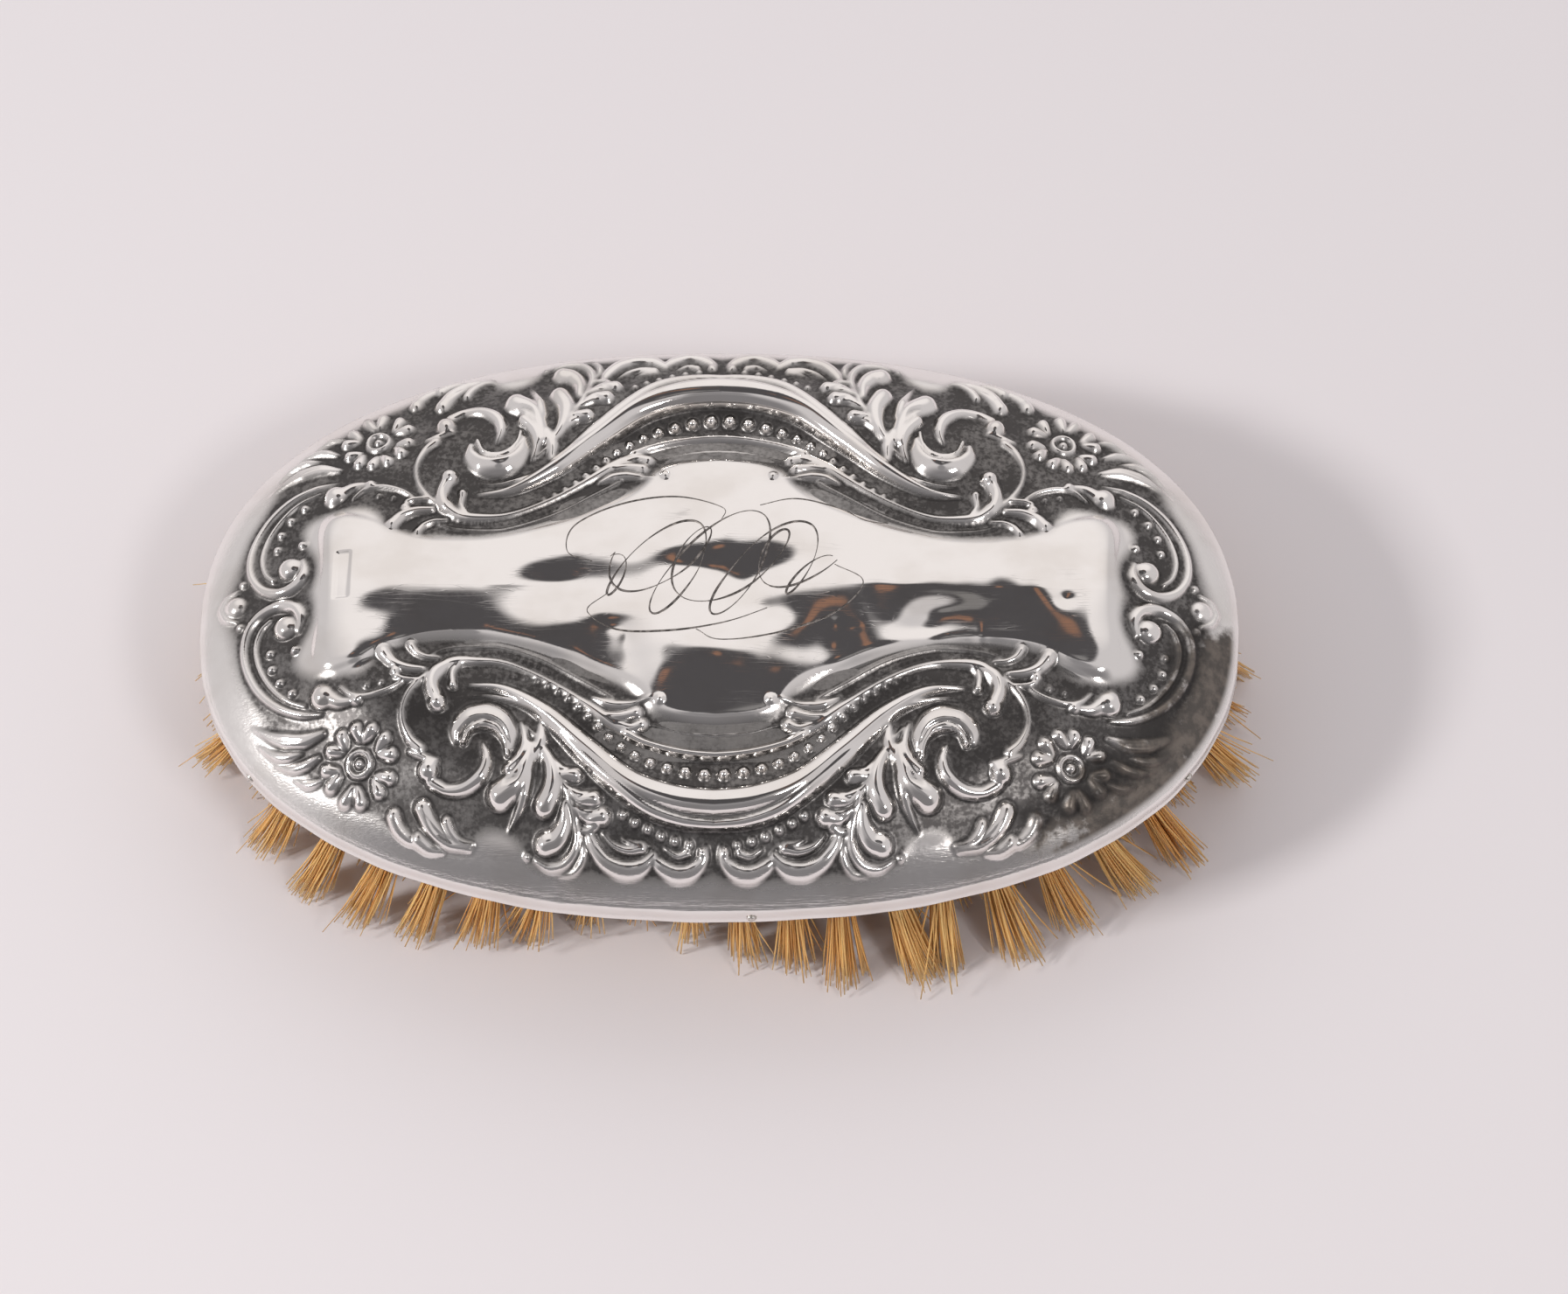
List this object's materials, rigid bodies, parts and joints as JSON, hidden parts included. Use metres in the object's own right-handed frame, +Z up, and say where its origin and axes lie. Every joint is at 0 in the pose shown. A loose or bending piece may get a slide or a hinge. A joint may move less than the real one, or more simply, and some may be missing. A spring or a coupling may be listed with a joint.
{
  "type": "vanity hairbrush",
  "caption": "Oval handle-less hairbrush: a thin stamped silver back with scrollwork over a wooden block, and leaning tufts of natural bristle drawn through a drilled board.",
  "frame": {"origin": "under the middle of the oval, on the plane of the bristle tips", "axes": "+X along the oval, +Y across it, +Z up through the silver back"},
  "size_m": [0.131, 0.0768, 0.031],
  "materials": {
    "silver": "antique silver, polished on the high parts and oxidised dark in the recesses, with fine scratches and a brushed rim",
    "pitch": "dark setting cement",
    "block_wood": "plain sawn wood",
    "board_wood": "satin polished wood with rounded lower edge",
    "bristle": "natural golden bristle",
    "pin_metal": "dull white metal"
  },
  "bodies": {
    "root": {"silver_back": "silver", "pitch_filler": "pitch", "brush_block": "block_wood", "bristle_board": "board_wood", "bristle_row_01": "bristle", "bristle_row_02": "bristle", "bristle_row_03": "bristle", "bristle_row_04": "bristle", "bristle_row_05": "bristle", "bristle_row_06": "bristle", "bristle_row_07": "bristle", "bristle_row_08": "bristle", "bristle_row_09": "bristle", "bristle_row_10": "bristle", "bristle_row_11": "bristle", "bristle_row_12": "bristle", "bristle_row_13": "bristle", "bristle_row_14": "bristle", "bristle_row_15": "bristle", "bristle_row_16": "bristle", "bristle_row_17": "bristle", "bristle_row_18": "bristle", "bristle_row_19": "bristle", "bristle_row_20": "bristle", "rim_pin_1": "pin_metal", "rim_pin_2": "pin_metal", "rim_pin_3": "pin_metal", "rim_pin_4": "pin_metal", "rim_pin_5": "pin_metal", "rim_pin_6": "pin_metal"}
  },
  "joints": []
}
